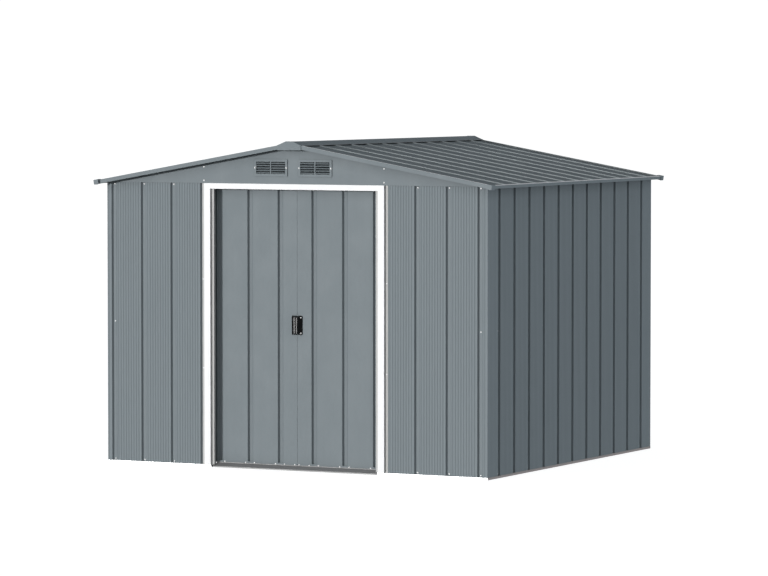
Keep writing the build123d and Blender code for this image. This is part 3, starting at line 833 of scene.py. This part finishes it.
class SHED_OT_handles(bpy.types.Operator):
    """Moulded door pulls: a plate is cut, its inner strip is drawn out to a fin, and all edges are rounded"""

    bl_idname = "shed.handles"
    bl_label = "Door handles"

    def execute(self, context):
        low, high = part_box("right_door_handle")
        plate = 0.0025
        fin = 0.017
        foot = 0.0065
        crest_length = 0.86
        crest_width = 0.55
        corner_round = 0.006
        edge_round = 0.0012
        sharp = math.radians(30)
        face = high.y - plate
        clear_selection()
        bpy.ops.mesh.primitive_cube_add(size=1)
        right = bpy.context.object
        right.name = "right_handle_moulding"
        right.data.name = right.name
        size = (high.x - low.x, plate, high.z - low.z)
        middle = Vector(((low.x + high.x) / 2, high.y - plate / 2, (low.z + high.z) / 2))
        put(right, Matrix.Translation(middle) @ Matrix.Diagonal((*size, 1)))
        bpy.ops.object.mode_set(mode="EDIT")
        bpy.ops.mesh.select_all(action="SELECT")
        bpy.ops.mesh.bisect(plane_co=(low.x + fin, 0, 0), plane_no=(1, 0, 0))
        pick("VERT", lambda vert: abs(vert.co.x - low.x - fin) < NEAR and vert.co.y < face + NEAR)
        bpy.ops.transform.translate(value=(0, -foot, 0))
        pick("FACE", lambda side: side.normal.y < -FACING and side.calc_center_median().x < low.x + fin)
        rise = face - low.y
        bpy.ops.mesh.extrude_region_move(TRANSFORM_OT_translate={"value": (0, -rise, 0)})
        bpy.ops.transform.resize(value=(1, 0, 1), center_override=(0, low.y, 0))
        bpy.ops.transform.resize(value=(1, 1, crest_length), center_override=middle)
        bpy.ops.transform.resize(value=(crest_width, 1, 1), center_override=(low.x, 0, 0))
        pick("EDGE", lambda edge: abs(edge.verts[0].co.x - edge.verts[1].co.x) < NEAR
             and abs(edge.verts[0].co.z - edge.verts[1].co.z) < NEAR
             and edge.verts[0].co.x > high.x - NEAR)
        bpy.ops.mesh.bevel(offset=corner_round, segments=6, affect="EDGES")
        bpy.ops.object.mode_set(mode="OBJECT")
        add_modifier(right, "BEVEL", width=edge_round, segments=4, limit_method="ANGLE",
                     angle_limit=sharp, use_clamp_overlap=True)
        turn_outwards(right)
        left = mirrored(right, "left_handle_moulding", 0)
        for side, piece in (("right", right), ("left", left)):
            smooth(piece)
            body = side + "_door"
            hand_over(piece, body, "black_plastic", finish_of("black_plastic"), side + "_door_handle")
        return {"FINISHED"}


class SHED_OT_screws(bpy.types.Operator):
    """Pan-head screws with washers: one is modelled and copied to every fixing"""

    bl_idname = "shed.screws"
    bl_label = "Screws"

    def execute(self, context):
        first = self.model_screw()
        groups = (("shed", self.shed_places(context)), ("right_door", self.door_places(1)),
                  ("left_door", self.door_places(-1)))
        for body, places in groups:
            copies = []
            for point, facing in places:
                screw = copy_piece(first, body + "_screw")
                turn = Vector((0, 0, 1)).rotation_difference(Vector(facing)).to_matrix().to_4x4()
                put(screw, Matrix.Translation(point) @ turn)
                copies.append(screw)
            take(copies[0])
            for screw in copies:
                screw.select_set(True)
            bpy.ops.object.join()
            piece = bpy.context.object
            piece.name = body + "_screws"
            piece.data.name = piece.name
            take(piece)
            bpy.ops.object.shade_smooth_by_angle(angle=SMOOTH_BELOW)
            hand_over(piece, body, "galvanised", finish_of("screw_zinc"))
        take(first)
        bpy.ops.object.delete()
        return {"FINISHED"}

    def model_screw(self):
        """A washer with a domed head, looking up from the origin."""
        washer = 0.0045
        head = 0.0031
        thick = 0.0009
        head_side = 0.0012
        head_dome = 0.0008
        dome_top = 0.62
        recess_edge = 0.0009
        recess = 0.0006
        middle = (0, 0, thick / 2)
        clear_selection()
        bpy.ops.mesh.primitive_cylinder_add(vertices=12, radius=washer, depth=thick, location=middle)
        screw = bpy.context.object
        screw.name = "first_screw"
        bpy.ops.object.transform_apply(location=True, rotation=True, scale=True)
        bpy.ops.object.mode_set(mode="EDIT")
        pick("FACE", lambda face: face.normal.z > FACING)
        bpy.ops.mesh.inset(thickness=washer - head)
        bpy.ops.mesh.extrude_region_move(TRANSFORM_OT_translate={"value": (0, 0, head_side)})
        bpy.ops.mesh.extrude_region_move(TRANSFORM_OT_translate={"value": (0, 0, head_dome)})
        bpy.ops.transform.resize(value=(dome_top, dome_top, 1))
        bpy.ops.mesh.inset(thickness=recess_edge)
        bpy.ops.mesh.extrude_region_move(TRANSFORM_OT_translate={"value": (0, 0, -recess)})
        pick("FACE", lambda face: face.normal.z < -FACING)
        bpy.ops.mesh.delete(type="FACE")
        bpy.ops.object.mode_set(mode="OBJECT")
        return screw

    def shed_places(self, context):
        """Fixings of the walls, the jambs, the gables and the vents."""
        pitch = context.scene.shed_sheets.pitch
        floor = 0.012
        lapped = 0.0112
        low = 0.025
        middle = 0.839
        high = 1.651
        front_grooves = (-1.2, -1.0, -0.8, 0.8, 1.0, 1.2)
        back_grooves = [index * pitch for index in range(-6, 7)]
        side_grooves = [index * pitch for index in range(-5, 6)]
        places = []
        for wall, grooves, last in (
            ("front", front_grooves, FRONT_END_GROOVE),
            ("back", back_grooves, FRONT_END_GROOVE),
            ("left", side_grooves, SIDE_END_GROOVE),
            ("right", side_grooves, SIDE_END_GROOVE),
        ):
            place = against_wall(wall)
            facing = place.to_3x3() @ Vector((0, -1, 0))
            for along in grooves:
                outer = abs(abs(along) - last) < NEAR
                heights = (low, middle, high) if outer or wall != "front" else (low, high)
                for height in heights:
                    places.append((place @ Vector((along, lapped if outer else floor, height)), facing))
        front = against_wall("front")
        facing = (0, -1, 0)
        jamb_screw = 0.602
        jamb_floor = 0.011
        gable_screw = 0.59
        gable_face = -0.0008
        vent_middle = 0.145
        vent_half = 0.1033
        vent_face = -0.0053
        vent_height = 1.7545
        spots = [(jamb_screw, jamb_floor, height) for height in (0.58, 1.1)]
        spots += [(gable_screw, gable_face, height) for height in (1.677, 1.756)]
        for along in (vent_middle - vent_half, vent_middle + vent_half):
            spots.append((along, vent_face, vent_height))
        for side in (-1, 1):
            for along, depth, height in spots:
                places.append((front @ Vector((side * along, depth, height)), facing))
        return places

    def door_places(self, side):
        """Fixings of a door's bottom rail, and of the right-hand door's handle."""
        front = against_wall("front")
        facing = (0, -1, 0)
        rail_face = 0.048
        rail_height = 0.032
        spans = {
            1: (0.011, 0.078, 0.138, 0.278, 0.339, 0.478),
            -1: (0.017, 0.085, 0.144, 0.283, 0.343, 0.482),
        }
        places = [(front @ Vector((side * along, rail_face, rail_height)), facing) for along in spans[side]]
        if side > 0:
            low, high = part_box("right_door_handle")
            along = 0.027
            proud = 0.0058
            from_end = 0.01
            tilt = math.radians(22)
            facing = (math.sin(tilt), -math.cos(tilt), 0)
            for height in (low.z + from_end, high.z - from_end):
                places.append((Vector((along, high.y - proud, height)), facing))
        return places


class SHED_OT_carried_over(bpy.types.Operator):
    """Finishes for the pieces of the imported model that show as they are"""

    bl_idname = "shed.carried_over"
    bl_label = "Carried-over pieces"

    def execute(self, context):
        groups = {
            "white_trim": ("door_jamb", "door_header"),
            "base_rail": ("base_rail",),
            # The side and back base rails get the darker rail colour, painted shade
            "shaded_rail": ("base_rail_left", "base_rail_right", "base_rail_back"),
            "ridge_cap": ("ridge_cap",),
            "roof_trim": ("front_barge", "back_barge", "eave_trim"),
            "galvanised": ("mid_rails", "top_rail", "door_top_track", "roof_beams"),
            "sill_steel": ("door_sill", "door_bottom_track"),
            "black_plastic": ("left_door_handle", "right_door_handle"),
            "glide_plastic": ("left_door_glides", "right_door_glides"),
        }
        for name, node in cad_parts.items():
            finish = "grey_paint"
            for group, starts in groups.items():
                if name.startswith(starts):
                    finish = group
            node.data.materials.clear()
            node.data.materials.append(finish_of(finish))
        return {"FINISHED"}


class SHED_OT_stage(bpy.types.Operator):
    """Pale floor, soft studio light and the camera"""

    bl_idname = "shed.stage"
    bl_label = "Stage"

    def execute(self, context):
        light = context.scene.shed_stage
        white = (1, 1, 1)
        key_share = 0.8
        fill_share = 0.2
        self.floor()
        self.room(context, light)
        self.lamp("key_light", light.key * key_share, white, direction=(-29, 5.4), size=6, in_gloss=True)
        self.lamp("front_fill_light", light.key * fill_share, white, direction=(4, 6), size=24)
        self.lamp("side_fill_light", light.side_fill, light.cool, direction=(122, -8), size=40)
        self.lamp("back_fill_light", light.back_fill, light.cool, direction=(-115, -5), size=40)
        self.camera(context)
        return {"FINISHED"}

    def floor(self):
        """A wide pale floor that lights nothing itself."""
        wide = 400
        dark, light = (0.27, 0.27, 0.27), (0.29, 0.29, 0.29)
        glow = 0.92
        clear_selection()
        bpy.ops.mesh.primitive_plane_add(size=wide)
        floor = bpy.context.object
        floor.name = "pale_floor"
        finish, shader = new_finish("pale_floor_finish")
        cloud = noise(finish, place_on_piece(finish), scale=0.4, detail=2.0)
        link(finish, shades(finish, cloud, dark, light), shader.inputs["Base Color"])
        shader.inputs["Roughness"].default_value = 1.0
        shader.inputs["Specular IOR Level"].default_value = 0.0
        shader.inputs["Emission Color"].default_value = (1, 1, 1, 1)
        shader.inputs["Emission Strength"].default_value = glow
        floor.data.materials.append(finish)
        floor.visible_diffuse = False
        floor.visible_glossy = False
        floor.visible_shadow = False

    def room(self, context, light):
        """Even light from above, less from below, and plain white behind the object."""
        backdrop_level = 1.05
        world = bpy.data.worlds.new("studio_room")
        context.scene.world = world
        world.use_nodes = True
        nodes = world.node_tree.nodes
        nodes.clear()
        links = world.node_tree.links
        output = nodes.new("ShaderNodeOutputWorld")
        coordinates = nodes.new("ShaderNodeTexCoord")
        split = nodes.new("ShaderNodeSeparateXYZ")
        links.new(coordinates.outputs["Generated"], split.inputs["Vector"])
        level = nodes.new("ShaderNodeMapRange")
        level.inputs["From Min"].default_value = -1.0
        level.inputs["From Max"].default_value = 1.0
        links.new(split.outputs["Z"], level.inputs["Value"])
        ramp = nodes.new("ShaderNodeValToRGB")
        middle = ramp.color_ramp.elements.new(0.5)
        first, last = ramp.color_ramp.elements[0], ramp.color_ramp.elements[-1]
        for stop, strength in ((first, light.ground), (middle, light.horizon), (last, light.sky)):
            stop.color = (*[channel * strength for channel in light.cool], 1)
        links.new(level.outputs["Result"], ramp.inputs["Fac"])
        ambient = nodes.new("ShaderNodeBackground")
        links.new(ramp.outputs["Color"], ambient.inputs["Color"])
        backdrop = nodes.new("ShaderNodeBackground")
        backdrop.inputs["Color"].default_value = (1, 1, 1, 1)
        backdrop.inputs["Strength"].default_value = backdrop_level
        path = nodes.new("ShaderNodeLightPath")
        mix = nodes.new("ShaderNodeMixShader")
        links.new(path.outputs["Is Camera Ray"], mix.inputs["Fac"])
        links.new(ambient.outputs["Background"], mix.inputs[1])
        links.new(backdrop.outputs["Background"], mix.inputs[2])
        links.new(mix.outputs["Shader"], output.inputs["Surface"])

    def lamp(self, name, strength, colour, direction, size, in_gloss=False):
        """A soft sun from a turn to the right of the front and a height, as wide as size, all in degrees."""
        clear_selection()
        turn, height = (math.radians(angle) for angle in direction)
        bpy.ops.object.light_add(type="SUN", rotation=(math.pi / 2 - height, 0, turn))
        lamp = bpy.context.object
        lamp.name = name
        lamp.data.energy = strength
        lamp.data.color = colour
        lamp.data.angle = math.radians(size)
        lamp.visible_glossy = in_gloss

    def camera(self, context):
        """The camera, at the angle of the picture."""
        clear_selection()
        turn = (math.radians(CAMERA_TILT), 0, math.radians(CAMERA_TURN))
        bpy.ops.object.camera_add(location=CAMERA_PLACE, rotation=turn)
        camera = bpy.context.object
        camera.name = "front_right_camera"
        camera.data.sensor_width = CAMERA_SENSOR
        camera.data.lens = CAMERA_LENS
        camera.data.clip_end = CAMERA_REACH
        context.scene.camera = camera
        context.scene.view_settings.view_transform = "Standard"


class SHED_PT_pieces(bpy.types.Panel):
    """Pieces of the shed, in the order in which they are made"""

    bl_label = "Metal tool shed"
    bl_idname = "SHED_PT_pieces"
    bl_space_type = "VIEW_3D"
    bl_region_type = "UI"
    bl_category = "Shed"

    def draw(self, context):
        for operator in OPERATORS:
            self.layout.operator(operator.bl_idname)


SETTINGS = {
    "shed_sheets": ShedSheetSizes,
    "shed_roof": ShedRoofSizes,
    "shed_finishes": ShedFinishes,
    "shed_stage": ShedStage,
}
OPERATORS = (
    SHED_OT_carried_over,
    SHED_OT_wall_sheets,
    SHED_OT_corner_sheets,
    SHED_OT_door_sheets,
    SHED_OT_roof_sheets,
    SHED_OT_sill_hem,
    SHED_OT_handles,
    SHED_OT_screws,
    SHED_OT_stage,
)


def register():
    """Register the settings, the operators and the panel."""
    for name, group in SETTINGS.items():
        bpy.utils.register_class(group)
        setattr(bpy.types.Scene, name, PointerProperty(type=group))
    for item in OPERATORS:
        bpy.utils.register_class(item)
    bpy.utils.register_class(SHED_PT_pieces)


def unregister():
    """Take back what register did."""
    bpy.utils.unregister_class(SHED_PT_pieces)
    for item in reversed(OPERATORS):
        bpy.utils.unregister_class(item)
    for name, group in SETTINGS.items():
        delattr(bpy.types.Scene, name)
        bpy.utils.unregister_class(group)


def main():
    """Make every piece in order."""
    register()
    for operator in OPERATORS:
        group, name = operator.bl_idname.split(".")
        getattr(getattr(bpy.ops, group), name)()


if __name__ == "__main__":
    main()
